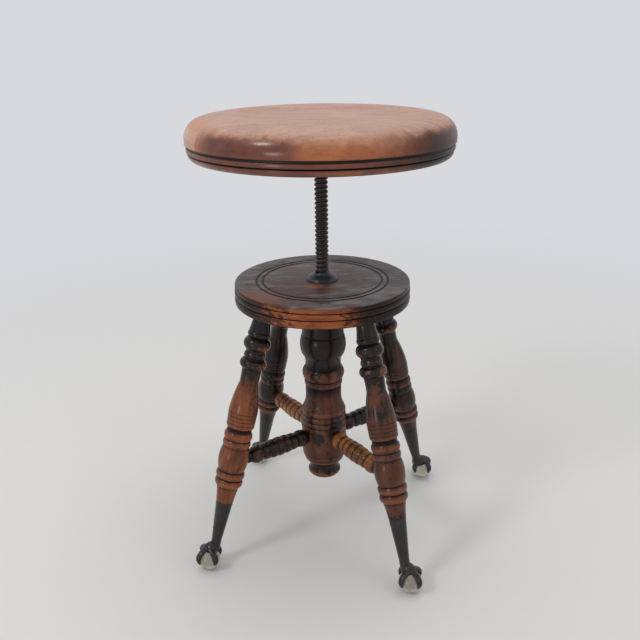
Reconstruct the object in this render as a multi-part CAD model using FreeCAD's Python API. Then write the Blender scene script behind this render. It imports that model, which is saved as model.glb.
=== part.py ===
import FreeCAD, Part
import math
import os

# Revolving piano stool, millimetres, +Z up, origin on the floor under the middle of the seat.
# A turned seat on an iron screw rides in a flanged nut, over a disc, a turned column,
# four splayed turned legs, four stretchers and four cast claws that hold glass balls.
# It is drawn with the seat wound part of the way up.

# Seat, a round board with a soft edge, two bands and two grooves round it
seat_diameter = 356.0
seat_thickness = 53.5
seat_top_height = 631.0
seat_crown_radius = 160.0
seat_crown_fall = 3.0
seat_edge_radius = 25.0
seat_plain_side = 6.5
seat_dish_depth = 4.0
seat_dish_floor_radius = 80.0
seat_deep_groove_width = 3.4
seat_fine_groove_width = 1.6
seat_groove_depth = 3.0
seat_band_height = 6.0
seat_band_inset = 1.8
seat_band_bulge = 0.5
seat_bead_inset = 3.0
seat_bead_bulge = 1.2
seat_underside_inset = 7.5

# Iron spider that carries the seat on the screw
spider_arms = 4
spider_reach = 84.0
spider_arm_thickness = 5.0
spider_arm_root_width = 26.0
spider_arm_tip_width = 17.0
spider_rib_width = 5.0
spider_rib_foot_rise = 2.5
spider_hub_diameter = 36.0
spider_hub_height = 15.5
spider_hub_round = 2.0
wood_screw_shank_diameter = 4.4
wood_screw_head_diameter = 9.0
wood_screw_length = 30.0
wood_screw_point_length = 6.0
wood_screw_point_diameter = 0.8
wood_screw_inset = 10.0

# Lifting screw and the parts that guide and stop it
screw_diameter = 18.6
screw_pitch = 6.35
screw_below_nut = 42.0
screw_neck_relief = 0.7
screw_end_chamfer = 1.2
screw_spigot_diameter = 10.4
stop_washer_diameter = 27.6
stop_washer_thickness = 4.0
stop_washer_chamfer = 0.6
rivet_head_diameter = 15.0
rivet_face_diameter = 9.0
rivet_head_height = 3.2
rivet_head_bulge = 0.8

# Flanged nut let into the disc
nut_flange_diameter = 45.0
nut_flange_thickness = 2.4
nut_dome_height = 11.0
nut_dome_top_diameter = 25.0
nut_dome_shoulder = 2.2
nut_dome_bulge = 1.2
nut_barrel_diameter = 30.0
nut_barrel_length = 53.0
nut_edge_break = 0.8

# Disc that joins legs, column and nut
disc_diameter = 245.4
disc_thickness = 27.8
disc_top_height = 403.0
disc_top_band = 8.0
disc_middle_band = 9.0
disc_corner = 1.8
disc_edge_groove_width = 2.0
disc_edge_groove_depth = 2.2
disc_edge_bulge = 0.7
disc_ring_outer_radius = 92.8
disc_ring_spacing = 8.8
disc_ring_groove_width = 3.0
disc_ring_groove_depth = 1.5

# Centre column
column_diameter = 67.6
column_shoulder_diameter = 54.0
column_tenon_diameter = 46.0
column_tenon_length = 15.0
column_bore_spare = 5.0

# Legs, leaning outwards
leg_count = 4
leg_diameter = 43.2
leg_splay = 16.0
leg_top_circle_radius = 97.0
leg_tenon_diameter = 21.6
leg_tenon_length = 17.0
leg_first_azimuth = 45.0
leg_overcut = 8.0

# Stretchers between column and legs
stretcher_diameter = 27.6
stretcher_height = 160.0
stretcher_tenon_diameter = 17.2
stretcher_column_tenon = 11.0
stretcher_leg_tenon = 12.0
stretcher_end_bead = 18.0
stretcher_plain_end = 6.5
stretcher_valley_depth = 3.3
stretcher_rings = 5
stretcher_ring_bulge = 1.3
stretcher_middle_depth = 1.1
stretcher_barrel_rise = 2.8

# Cast claws, glass balls and the nails that hold the claws
sleeve_top_height = 103.8
sleeve_top_diameter = 24.8
sleeve_bottom_diameter = 14.6
sleeve_wall = 2.8
sleeve_floor = 8.0
sleeve_end_above_ball = 13.0
ball_diameter = 32.0
ball_outset = 6.0
crown_diameter = 20.6
crown_lean = 4.6
crown_sink = 0.7
talon_count = 4
talon_twist = 5.0
nail_diameter = 2.2
nail_length = 9.0
nail_head_diameter = 4.4
nail_head_height = 1.2
nail_station = 42.0

# Fits
running_clearance = 0.05
glue_clearance = 0.1
bore_clearance = 0.5
seat_clearance = 0.1
stop_gap = 0.5
cut_overrun = 3.0

# A turned outline is a list of cuts, from the top down or from one end to the other.
# Each cut is its length, the depth of its far end below the full radius, and its bulge,
# which is how far the middle of the cut stands out (or in, when negative) from a straight line.
leg_head_cuts = [
    (leg_overcut, 9.4, 0),
    (27.0, 6.8, -0.7),
    (1.0, 7.2, 0),
    (7.6, 7.2, 1.4),
    (1.0, 7.8, 0),
    (1.0, 6.2, 0),
    (15.0, 5.8, 3.4),
    (5.4, 7.8, -0.8),
    (8.0, 7.6, 1.4),
    (1.4, 6.6, 0),
    (13.4, 6.6, 3.8),
    (1.6, 7.4, 0),
    (20.0, 8.1, -0.3),
]
leg_ankle_cuts = [
    (1.2, 4.2, 0),
    (6.0, 4.2, 0),
    (1.0, 3.4, 0),
    (10.8, 3.2, 1.8),
    (0.8, 3.6, 0),
    (10.0, 3.2, 1.6),
    (1.0, 3.2, 0),
]
leg_foot_cuts = [
    (1.2, 3.6, 0),
    (0.8, 3.0, 0),
    (10.4, 3.2, 2.1),
    (1.0, 3.9, 0),
    (11.0, 3.9, 2.2),
    (1.4, 5.4, 0),
    (23.9, 9.1, -0.4),
]
leg_swell_share = 0.545
leg_swell_depth = 1.0
leg_swell_bulge = 1.0
leg_barrel_depth = 2.8
leg_barrel_bulge = 2.8
leg_rings = 4
leg_ring_pitch = 5.6
leg_ring_depth = 0.7
leg_ring_taper = 0.25

column_bulb_cuts = [
    (5.0, 3.0, 0),
    (1.2, 3.8, 0),
    (1.2, 2.8, 0),
    (28.3, 2.6, 2.7),
    (12.4, 7.6, -0.9),
    (9.0, 7.6, 0),
    (20.0, 6.8, 4.4),
    (1.0, 6.0, 0),
    (7.0, 6.0, 0.4),
    (0.8, 7.4, 0),
]
column_flare_cuts = [
    (10.6, 5.2, -0.3),
    (6.8, 2.2, 0),
]
column_tail_cuts = [
    (0.8, 1.6, 0),
    (7.4, 2.8, 0.8),
    (0.8, 3.6, 0),
    (6.6, 6.4, 1.0),
    (0.8, 7.4, 0),
    (7.6, 12.0, -0.6),
    (2.4, 12.2, 0),
    (6.4, 9.8, -0.8),
    (7.2, 11.2, 1.4),
    (2.0, 14.2, 0.3),
]
column_neck_share = 0.7
column_neck_depth = 3.8
column_neck_bulge = -1.2
column_shaft_depth = 7.2
column_rings = 4
column_ring_pitch = 8.8
column_ring_groove = 0.8
column_ring_bulge = 1.1
column_ring_growth = 0.45
column_barrel_above_stretcher = 8.0
column_barrel_length = 38.5
column_barrel_depth = 0.9
column_barrel_bulge = 0.9

# Talon sections: angle above the ball's equator, half width, half thickness and
# how far the middle lies off the glass. The fourth is the knuckle, the last the tip.
talon_sections = [
    (79.0, 4.8, 3.6, 3.6),
    (60.0, 4.5, 3.2, 2.8),
    (40.0, 4.7, 3.4, 3.2),
    (22.0, 4.6, 3.4, 3.0),
    (6.0, 3.9, 2.5, 1.8),
    (-7.0, 2.4, 1.3, 0.9),
]

leg_names = ["back_right", "back_left", "front_left", "front_right"]

# Sizes that follow from the ones above
seat_radius = seat_diameter / 2
seat_underside = seat_top_height - seat_thickness
seat_widest_height = seat_top_height - seat_crown_fall - seat_edge_radius
disc_radius = disc_diameter / 2
disc_underside = disc_top_height - disc_thickness
nut_top = disc_top_height + nut_dome_height
nut_underside = disc_top_height - nut_barrel_length
nut_hole_diameter = nut_barrel_diameter + 2 * glue_clearance
hub_underside = seat_underside - spider_hub_height
screw_radius = screw_diameter / 2
screw_neck_radius = screw_radius - screw_neck_relief
screw_end_height = nut_underside - screw_below_nut
washer_room_underside = screw_end_height - stop_washer_thickness - 2 * seat_clearance
screw_tip = washer_room_underside - rivet_head_height
seat_can_drop = hub_underside - nut_top - stop_gap
seat_can_rise = screw_below_nut - stop_gap
column_radius = column_diameter / 2
column_bore_diameter = stop_washer_diameter + 2 * bore_clearance
column_bore_floor = screw_tip - seat_can_drop - column_bore_spare
leg_radius = leg_diameter / 2
splay = math.radians(leg_splay)
leg_turned_length = (disc_underside - sleeve_top_height) / math.cos(splay)
ball_radius = ball_diameter / 2
ball_reach = leg_top_circle_radius + (disc_underside - ball_radius) * math.tan(splay) + ball_outset
sleeve_length = (sleeve_top_height - ball_diameter - sleeve_end_above_ball) / math.cos(splay)
sleeve_slope = (sleeve_top_diameter - sleeve_bottom_diameter) / 2 / sleeve_length
spigot_length = sleeve_length - sleeve_floor


def vector(x, y, z):
    return FreeCAD.Vector(x, y, z)


origin = vector(0, 0, 0)
up = vector(0, 0, 1)
down = vector(0, 0, -1)
outward = vector(1, 0, 0)
ball_centre = vector(ball_reach, 0, ball_radius)


# Helpers

def outline_edge(start, end, bulge):
    """A straight edge, or an arc whose middle stands bulge away from the straight line."""
    if bulge == 0:
        return Part.makeLine(start, end)
    along = end - start
    aside = vector(-along.z, 0, along.x)
    aside.normalize()
    middle = (start + end) * 0.5 + aside * bulge
    return Part.Arc(start, middle, end).toShape()


def sagitta(radius, turn):
    """How far the middle of an arc stands off the straight line between its ends."""
    return radius * (1 - math.cos(turn / 2))


def revolved(points):
    """Solid of revolution about Z. Each point is radius, height and the bulge of the edge to it."""
    corners = [vector(radius, 0, height) for radius, height, bulge in points]
    edges = []
    for index in range(1, len(points)):
        edges.append(outline_edge(corners[index - 1], corners[index], points[index][2]))
    edges.append(Part.makeLine(corners[-1], corners[0]))
    face = Part.Face(Part.Wire(edges))
    return as_solid(face.revolve(origin, up, 360))


def as_solid(shape):
    """The one solid of a shape, facing outwards."""
    solid = shape.Solids[0]
    if solid.Volume < 0:
        solid.reverse()
    return solid


def turned(full_radius, first_depth, cuts):
    """A turned piece that hangs down from the origin along -Z."""
    points = [(0, 0, 0), (full_radius - first_depth, 0, 0)]
    height = 0
    for length, depth, bulge in cuts:
        height -= length
        points.append((full_radius - depth, height, bulge))
    points.append((0, height, 0))
    return revolved(points)


def total_length(cuts):
    return sum(cut[0] for cut in cuts)


def rod(diameter, start, length, direction=up):
    return Part.makeCylinder(diameter / 2, length, start, direction)


def moved(shape, offset):
    copy = shape.copy()
    copy.translate(offset)
    return copy


def turned_about_z(shape, angle):
    copy = shape.copy()
    copy.rotate(origin, up, angle)
    return copy


def round_the_axis(shape, count, first_angle=0.0):
    """Copies of a shape, evenly spaced about Z."""
    return [turned_about_z(shape, first_angle + index * 360.0 / count) for index in range(count)]


def leaned(shape):
    """Takes a piece drawn hanging down from the origin to a leg's place, before its azimuth."""
    copy = shape.copy()
    copy.rotate(origin, vector(0, 1, 0), -leg_splay)
    copy.translate(vector(leg_top_circle_radius, 0, disc_underside))
    return copy


def leg_azimuth(index):
    return leg_first_azimuth + index * 360.0 / leg_count


def leg_axis_reach(height):
    return leg_top_circle_radius + (disc_underside - height) * math.tan(splay)


# Seat and what hangs from it

def seat_top_outline():
    """The seat's top from its middle to its widest point, each arc running into the next."""
    dish_floor = seat_top_height - seat_dish_depth
    edge_centre = seat_radius - seat_edge_radius
    radius_step = seat_crown_radius - seat_edge_radius
    crown_turn = math.acos(1 - seat_crown_fall / radius_step)
    crest_radius = edge_centre - radius_step * math.sin(crown_turn)
    shoulder_radius = crest_radius + seat_crown_radius * math.sin(crown_turn)
    shoulder_height = seat_top_height - seat_crown_radius * (1 - math.cos(crown_turn))
    dish_width = crest_radius - seat_dish_floor_radius
    dish_turn = 2 * math.atan(seat_dish_depth / dish_width)
    dish_sag = sagitta(dish_width / 2 / math.sin(dish_turn), dish_turn)
    return [
        (0, dish_floor, 0),
        (seat_dish_floor_radius, dish_floor, 0),
        (seat_dish_floor_radius + dish_width / 2, dish_floor + seat_dish_depth / 2, -dish_sag),
        (crest_radius, seat_top_height, dish_sag),
        (shoulder_radius, shoulder_height, sagitta(seat_crown_radius, crown_turn)),
        (seat_radius, seat_widest_height, sagitta(seat_edge_radius, math.pi / 2 - crown_turn)),
    ]


def make_seat():
    deep_groove_top = seat_widest_height - seat_plain_side
    band_top = deep_groove_top - seat_deep_groove_width
    fine_groove_top = band_top - seat_band_height
    bead_top = fine_groove_top - seat_fine_groove_width
    band_radius = seat_radius - seat_band_inset
    bead_radius = seat_radius - seat_bead_inset
    seat = revolved([(0, seat_underside, 0)] + seat_top_outline() + [
        (seat_radius, deep_groove_top, 0),
        (seat_radius - seat_groove_depth, deep_groove_top, 0),
        (seat_radius - seat_groove_depth, band_top, 0),
        (band_radius, band_top, 0),
        (band_radius, fine_groove_top, seat_band_bulge),
        (band_radius - seat_groove_depth, (fine_groove_top + bead_top) / 2, 0),
        (bead_radius, bead_top, 0),
        (seat_radius - seat_underside_inset, seat_underside, seat_bead_bulge),
    ])
    pilot_length = wood_screw_length - spider_arm_thickness + cut_overrun
    pilot_start = vector(wood_screw_circle(), 0, seat_underside)
    pilot = rod(wood_screw_shank_diameter + 2 * glue_clearance, pilot_start, pilot_length)
    return as_solid(seat.cut(round_the_axis(pilot, spider_arms)))


def wood_screw_circle():
    return spider_reach - wood_screw_inset


def wood_screw(extra):
    """A countersunk wood screw, point up, or the hole for it when extra is a clearance."""
    head = wood_screw_head_diameter / 2 + extra
    shank = wood_screw_shank_diameter / 2 + extra
    point = wood_screw_point_diameter / 2
    start = seat_underside - spider_arm_thickness
    screw = revolved([
        (0, start, 0),
        (head, start, 0),
        (shank, start + head - shank, 0),
        (shank, start + wood_screw_length - wood_screw_point_length, 0),
        (point, start + wood_screw_length, 0),
        (0, start + wood_screw_length, 0),
    ])
    return moved(screw, vector(wood_screw_circle(), 0, 0))


def make_wood_screws():
    return Part.makeCompound(round_the_axis(wood_screw(0), spider_arms))


def spider_arm():
    """A tapered arm with a round tip under the seat and a rib along its middle."""
    arm_underside = seat_underside - spider_arm_thickness
    root = spider_arm_root_width / 2
    tip = spider_arm_tip_width / 2
    tip_centre = spider_reach - tip
    outline = [
        Part.makeLine(vector(0, -root, 0), vector(tip_centre, -tip, 0)),
        Part.Arc(vector(tip_centre, -tip, 0), vector(spider_reach, 0, 0), vector(tip_centre, tip, 0)).toShape(),
        Part.makeLine(vector(tip_centre, tip, 0), vector(0, root, 0)),
        Part.makeLine(vector(0, root, 0), vector(0, -root, 0)),
    ]
    plate = Part.Face(Part.Wire(outline)).extrude(vector(0, 0, spider_arm_thickness))
    plate = moved(plate, vector(0, 0, arm_underside))
    rib_foot = hub_underside + spider_rib_foot_rise
    rib_top = arm_underside + spider_arm_thickness / 2
    rib_end = wood_screw_circle() - wood_screw_head_diameter
    rib_side = -spider_rib_width / 2
    rib_outline = Part.makePolygon([
        vector(0, rib_side, rib_foot),
        vector(spider_hub_diameter / 2, rib_side, rib_foot),
        vector(rib_end, rib_side, arm_underside),
        vector(rib_end, rib_side, rib_top),
        vector(0, rib_side, rib_top),
        vector(0, rib_side, rib_foot),
    ])
    rib = Part.Face(rib_outline).extrude(vector(0, spider_rib_width, 0))
    return plate.fuse(rib)


def make_spider():
    hub_radius = spider_hub_diameter / 2
    hub = revolved([
        (0, hub_underside, 0),
        (hub_radius - spider_hub_round, hub_underside, 0),
        (hub_radius, hub_underside + spider_hub_round, -spider_hub_round * (math.sqrt(0.5) - 0.5)),
        (hub_radius, seat_underside, 0),
        (0, seat_underside, 0),
    ])
    spider = hub.fuse(round_the_axis(spider_arm(), spider_arms)).removeSplitter()
    spider = spider.cut(round_the_axis(wood_screw(glue_clearance), spider_arms))
    neck_hole = rod(2 * screw_neck_radius + 2 * glue_clearance, origin, seat_top_height)
    return as_solid(spider.cut(neck_hole))


def make_lift_screw():
    neck_start = hub_underside - seat_clearance
    neck_end = seat_underside - seat_clearance
    spigot = screw_spigot_diameter / 2
    return revolved([
        (0, screw_tip, 0),
        (rivet_face_diameter / 2, screw_tip, 0),
        (rivet_head_diameter / 2, washer_room_underside, -rivet_head_bulge),
        (spigot, washer_room_underside, 0),
        (spigot, screw_end_height, 0),
        (screw_radius - screw_end_chamfer, screw_end_height, 0),
        (screw_radius, screw_end_height + screw_end_chamfer, 0),
        (screw_radius, neck_start, 0),
        (screw_neck_radius, neck_start, 0),
        (screw_neck_radius, neck_end, 0),
        (0, neck_end, 0),
    ])


def make_stop_washer():
    inner = screw_spigot_diameter / 2 + running_clearance
    outer = stop_washer_diameter / 2
    low = washer_room_underside + seat_clearance
    high = low + stop_washer_thickness
    return revolved([
        (inner, low, 0),
        (outer - stop_washer_chamfer, low, 0),
        (outer, low + stop_washer_chamfer, 0),
        (outer, high - stop_washer_chamfer, 0),
        (outer - stop_washer_chamfer, high, 0),
        (inner, high, 0),
    ])


# Nut, disc and column

def make_nut():
    bore = screw_radius + running_clearance
    flange = nut_flange_diameter / 2
    flange_top = disc_top_height + nut_flange_thickness
    barrel = nut_barrel_diameter / 2
    dome_top = nut_dome_top_diameter / 2
    return revolved([
        (bore, nut_underside, 0),
        (barrel - nut_edge_break, nut_underside, 0),
        (barrel, nut_underside + nut_edge_break, 0),
        (barrel, disc_top_height, 0),
        (flange, disc_top_height, 0),
        (flange, flange_top - nut_edge_break, 0),
        (flange - nut_edge_break, flange_top, 0),
        (dome_top, nut_top - nut_dome_shoulder, -nut_dome_bulge),
        (dome_top - nut_edge_break, nut_top, 0),
        (bore + nut_edge_break, nut_top, 0),
        (bore, nut_top - nut_edge_break, 0),
    ])


def ring_groove(radius):
    """Cutter for a shallow V groove in the top of the disc."""
    half_width = disc_ring_groove_width / 2
    return revolved([
        (radius - half_width, disc_top_height, 0),
        (radius - half_width, disc_top_height + cut_overrun, 0),
        (radius + half_width, disc_top_height + cut_overrun, 0),
        (radius + half_width, disc_top_height, 0),
        (radius, disc_top_height - disc_ring_groove_depth, 0),
    ])


def make_disc():
    upper_groove = disc_top_height - disc_top_band
    lower_groove = upper_groove - disc_middle_band
    half_groove = disc_edge_groove_width / 2
    groove_radius = disc_radius - disc_edge_groove_depth
    corner_bulge = disc_corner * (math.sqrt(0.5) - 0.5)
    disc = revolved([
        (0, disc_top_height, 0),
        (disc_radius - disc_corner, disc_top_height, 0),
        (disc_radius, disc_top_height - disc_corner, corner_bulge),
        (disc_radius, upper_groove + half_groove, 0),
        (groove_radius, upper_groove, 0),
        (disc_radius, upper_groove - half_groove, 0),
        (disc_radius, lower_groove + half_groove, disc_edge_bulge),
        (groove_radius, lower_groove, 0),
        (disc_radius, lower_groove - half_groove, 0),
        (disc_radius, disc_underside, disc_edge_bulge),
        (0, disc_underside, 0),
    ])
    disc = disc.cut(ring_groove(disc_ring_outer_radius))
    disc = disc.cut(ring_groove(disc_ring_outer_radius - disc_ring_spacing))
    disc = disc.cut(rod(nut_hole_diameter, origin, seat_top_height))
    socket_start = vector(0, 0, disc_underside - cut_overrun)
    socket_length = column_tenon_length + glue_clearance + cut_overrun
    disc = disc.cut(rod(column_tenon_diameter + 2 * glue_clearance, socket_start, socket_length))
    mortise_length = leg_overcut + leg_tenon_length + glue_clearance
    mortise = rod(leg_tenon_diameter + 2 * glue_clearance, vector(0, 0, -leg_overcut), mortise_length)
    return as_solid(disc.cut(round_the_axis(leaned(mortise), leg_count, leg_first_azimuth)))


def column_cuts():
    """All cuts of the column. Its neck and its shaft share what length the rest leaves."""
    rings_top = stretcher_height + column_barrel_above_stretcher + column_rings * column_ring_pitch
    plain_length = disc_underside - rings_top - total_length(column_bulb_cuts) - total_length(column_flare_cuts)
    cuts = [(plain_length * column_neck_share, column_neck_depth, column_neck_bulge)]
    cuts.extend(column_bulb_cuts)
    cuts.append((plain_length * (1 - column_neck_share), column_shaft_depth, 0))
    cuts.extend(column_flare_cuts)
    depth = column_flare_cuts[-1][1]
    for ring in range(column_rings):
        depth -= column_ring_growth
        cuts.append((column_ring_pitch - column_ring_groove, depth, column_ring_bulge))
        cuts.append((column_ring_groove, depth, 0))
    cuts.append((column_barrel_length, column_barrel_depth, column_barrel_bulge))
    cuts.extend(column_tail_cuts)
    return cuts


def make_column():
    column = turned(column_radius, column_radius - column_shoulder_diameter / 2, column_cuts())
    column = moved(column, vector(0, 0, disc_underside))
    tenon_start = vector(0, 0, disc_underside - cut_overrun)
    column = column.fuse(rod(column_tenon_diameter, tenon_start, column_tenon_length + cut_overrun))
    column = column.removeSplitter()
    column = column.cut(rod(column_bore_diameter, vector(0, 0, column_bore_floor), seat_top_height))
    column = column.cut(rod(nut_hole_diameter, vector(0, 0, nut_underside - glue_clearance), seat_top_height))
    socket_start = vector(stretcher_inner_end() - glue_clearance, 0, stretcher_height)
    socket = rod(stretcher_tenon_diameter + 2 * glue_clearance, socket_start, column_radius, outward)
    return as_solid(column.cut(round_the_axis(socket, leg_count, leg_first_azimuth)))


# Legs and stretchers

def leg_cuts():
    """All cuts of a leg. Its swell and its barrel share what length the rest leaves."""
    rings_length = leg_rings * leg_ring_pitch
    fixed_length = total_length(leg_head_cuts) + rings_length
    fixed_length += total_length(leg_ankle_cuts) + total_length(leg_foot_cuts)
    plain_length = leg_turned_length + leg_overcut - fixed_length
    cuts = list(leg_head_cuts)
    cuts.append((plain_length * leg_swell_share, leg_swell_depth, leg_swell_bulge))
    depth = leg_swell_depth
    for ring in range(leg_rings):
        cuts.append((leg_ring_depth, depth + leg_ring_depth, 0))
        cuts.append((leg_ring_depth, depth, 0))
        depth += leg_ring_taper
        cuts.append((leg_ring_pitch - 2 * leg_ring_depth, depth, 0))
    cuts.extend(leg_ankle_cuts)
    cuts.append((plain_length * (1 - leg_swell_share), leg_barrel_depth, leg_barrel_bulge))
    cuts.extend(leg_foot_cuts)
    return cuts


def spigot(extra):
    """The leg's tapered end inside the iron sleeve, or the socket for it when extra is a clearance."""
    length = spigot_length + extra
    top_radius = sleeve_top_diameter / 2 - sleeve_wall - glue_clearance + extra
    return Part.makeCone(top_radius, top_radius - sleeve_slope * length, length,
                         vector(0, 0, -leg_turned_length), down)


def make_leg():
    leg = turned(leg_radius, leg_head_cuts[0][1], leg_cuts())
    leg = moved(leg, vector(0, 0, leg_overcut))
    leg = leaned(leg.fuse(spigot(0)))
    span = 2 * ball_reach
    room = Part.makeBox(span, span, disc_underside, vector(-ball_reach, -ball_reach, 0))
    leg = leg.common(room)
    tenon = rod(leg_tenon_diameter, vector(0, 0, -leg_overcut), leg_overcut + leg_tenon_length)
    leg = leg.fuse(leaned(tenon)).removeSplitter()
    socket_start = vector(0, 0, stretcher_height)
    socket_length = stretcher_outer_end() + glue_clearance
    leg = leg.cut(rod(stretcher_tenon_diameter + 2 * glue_clearance, socket_start, socket_length, outward))
    return as_solid(leg.cut(nail_hole()))


def stretcher_inner_end():
    return column_radius - stretcher_column_tenon


def leg_inner_face():
    return leg_axis_reach(stretcher_height) - leg_radius / math.cos(splay)


def stretcher_outer_end():
    return leg_inner_face() + stretcher_leg_tenon


def make_stretcher():
    """A stretcher along X: a tenon, an end bead, rings on a swell, an end bead and a plain end."""
    radius = stretcher_diameter / 2
    plain_depth = radius - stretcher_tenon_diameter / 2
    start = column_radius + glue_clearance
    rings_length = leg_inner_face() - stretcher_plain_end - start - 2 * stretcher_end_bead
    pitch = rings_length / stretcher_rings
    bead_bulge = stretcher_valley_depth
    cuts = [
        (start - stretcher_inner_end(), plain_depth, 0),
        (stretcher_end_bead, stretcher_valley_depth, bead_bulge),
    ]
    for ring in range(1, stretcher_rings):
        from_middle = 2 * ring / stretcher_rings - 1
        depth = stretcher_middle_depth + stretcher_barrel_rise * from_middle ** 2
        cuts.append((pitch, min(depth, stretcher_valley_depth), stretcher_ring_bulge))
    cuts.append((pitch, stretcher_valley_depth, stretcher_ring_bulge))
    cuts.append((stretcher_end_bead, plain_depth, bead_bulge))
    cuts.append((stretcher_plain_end + stretcher_leg_tenon, plain_depth, 0))
    stretcher = turned(radius, plain_depth, cuts)
    stretcher.rotate(origin, vector(0, 1, 0), -90)
    return moved(stretcher, vector(stretcher_inner_end(), 0, stretcher_height))


# Claws, balls and nails

def make_talon(azimuth):
    """A curved talon round the ball, swelling at its knuckle and drawn to a blunt tip."""
    away = vector(math.cos(azimuth), math.sin(azimuth), 0)
    side = vector(-math.sin(azimuth), math.cos(azimuth), 0)
    sections = []
    for angle, half_width, half_thickness, off_glass in talon_sections:
        rise = math.radians(angle)
        normal = away * math.cos(rise) + up * math.sin(rise)
        middle = ball_centre + normal * (ball_radius + off_glass)
        ellipse = Part.Ellipse(middle + side * half_width, middle + normal * half_thickness, middle)
        sections.append(Part.Wire(ellipse.toShape()))
    return Part.makeLoft(sections, True, False)


def make_claw():
    """One casting: a tapered sleeve over the leg's end, a neck, a crown and the talons."""
    sleeve_top = vector(0, 0, -leg_turned_length)
    sleeve_end = vector(0, 0, -leg_turned_length - sleeve_length)
    sleeve = Part.makeCone(sleeve_top_diameter / 2, sleeve_bottom_diameter / 2, sleeve_length, sleeve_top, down)
    crown_rise = ball_radius - crown_sink
    neck_length = (sleeve_end_above_ball + crown_sink) / math.cos(splay)
    claw = leaned(sleeve.fuse(rod(sleeve_bottom_diameter, sleeve_end, neck_length, down)))
    crown = Part.makeSphere(crown_diameter / 2, ball_centre + vector(-crown_lean, 0, crown_rise))
    claw = claw.fuse(crown)
    for index in range(talon_count):
        claw = claw.fuse(make_talon(math.radians(talon_twist + index * 360.0 / talon_count)))
    claw = claw.cut(leaned(spigot(glue_clearance)))
    claw = claw.cut(Part.makeSphere(ball_radius + glue_clearance, ball_centre))
    return as_solid(claw.cut(nail_hole()))


def make_ball():
    return as_solid(Part.makeSphere(ball_radius, ball_centre))


def nail_surface():
    """Distance from the leg's axis to the sleeve's outside where the nail goes in."""
    return sleeve_top_diameter / 2 - sleeve_slope * nail_station


def leaned_to_nail(shape):
    """Stands a nail drawn along X square to the sleeve's tapering side, at its place on the leg."""
    squared = shape.copy()
    squared.rotate(vector(nail_surface(), 0, 0), vector(0, 1, 0), math.degrees(math.atan(sleeve_slope)))
    return leaned(moved(squared, vector(0, 0, -leg_turned_length - nail_station)))


def nail_hole():
    start = vector(nail_surface() - nail_length - glue_clearance, 0, 0)
    hole = rod(nail_diameter + 2 * glue_clearance, start, nail_length + glue_clearance + cut_overrun, outward)
    return leaned_to_nail(hole)


def make_nail():
    """The nail through the sleeve into the leg's end, its head on the sleeve."""
    surface = nail_surface()
    shank = rod(nail_diameter, vector(surface - nail_length, 0, 0), nail_length, outward)
    head = Part.makeCone(nail_head_diameter / 2, nail_diameter / 2, nail_head_height, vector(surface, 0, 0), outward)
    return leaned_to_nail(as_solid(shank.fuse(head).removeSplitter()))


def save(name, shape):
    shape.exportStep(os.path.join("parts", name + ".step"))


def main():
    os.makedirs("parts", exist_ok=True)
    save("seat", make_seat())
    save("seat_spider", make_spider())
    save("spider_screws", make_wood_screws())
    save("lift_screw", make_lift_screw())
    save("stop_washer", make_stop_washer())
    save("lift_nut", make_nut())
    save("base_disc", make_disc())
    save("center_column", make_column())
    leg = make_leg()
    stretcher = make_stretcher()
    claw = make_claw()
    ball = make_ball()
    for index in range(leg_count):
        azimuth = leg_azimuth(index)
        name = leg_names[index]
        save("leg_" + name, turned_about_z(leg, azimuth))
        save("stretcher_" + name, turned_about_z(stretcher, azimuth))
        save("claw_foot_" + name, turned_about_z(claw, azimuth))
        save("glass_ball_" + name, turned_about_z(ball, azimuth))
    save("claw_nails", Part.makeCompound(round_the_axis(make_nail(), leg_count, leg_first_azimuth)))
    print("seat can drop", round(seat_can_drop, 2), "mm, or", round(seat_can_drop / screw_pitch, 2), "turns")
    print("seat can rise", round(seat_can_rise, 2), "mm, or", round(seat_can_rise / screw_pitch, 2), "turns")


main()
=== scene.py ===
import math

import bmesh
import bpy
import numpy as np
from mathutils import Matrix, Vector


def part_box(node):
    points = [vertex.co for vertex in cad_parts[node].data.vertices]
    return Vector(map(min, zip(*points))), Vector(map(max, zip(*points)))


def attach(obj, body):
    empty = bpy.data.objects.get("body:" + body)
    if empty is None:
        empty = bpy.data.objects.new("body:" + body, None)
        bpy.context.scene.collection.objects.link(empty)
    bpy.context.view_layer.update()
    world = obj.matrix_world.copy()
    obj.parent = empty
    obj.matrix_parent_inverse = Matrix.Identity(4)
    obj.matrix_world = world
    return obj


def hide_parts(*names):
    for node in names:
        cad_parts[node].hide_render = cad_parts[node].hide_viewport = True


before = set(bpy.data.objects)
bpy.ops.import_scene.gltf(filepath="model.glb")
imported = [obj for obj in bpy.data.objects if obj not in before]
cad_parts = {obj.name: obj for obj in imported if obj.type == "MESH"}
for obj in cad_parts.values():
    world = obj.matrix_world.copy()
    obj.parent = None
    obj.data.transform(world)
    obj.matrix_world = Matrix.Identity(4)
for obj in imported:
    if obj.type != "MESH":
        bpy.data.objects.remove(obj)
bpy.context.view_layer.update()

bl_info = {
    "name": "Revolving piano stool",
    "version": (1, 0, 0),
    "blender": (4, 5, 0),
    "location": "3D View > Sidebar > Stool",
    "description": "Dresses a turned piano stool: worn seat, lifting screw, shellac, glass ball feet",
    "category": "Object",
}

MM = 0.001
LEG_NAMES = ("back_right", "back_left", "front_left", "front_right")

# The photograph's camera: focal length in pixels, place in metres, angles in radians.
IMAGE_WIDTH = 640
FOCAL_PIXELS = 743.0
SENSOR_WIDTH = 36
CAMERA_AZIMUTH = math.radians(10.6)
CAMERA_PLACE = (-0.003875, -1.000995, 0.730032)
CAMERA_PITCH = 0.37098
CAMERA_ROLL = -0.013783

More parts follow.
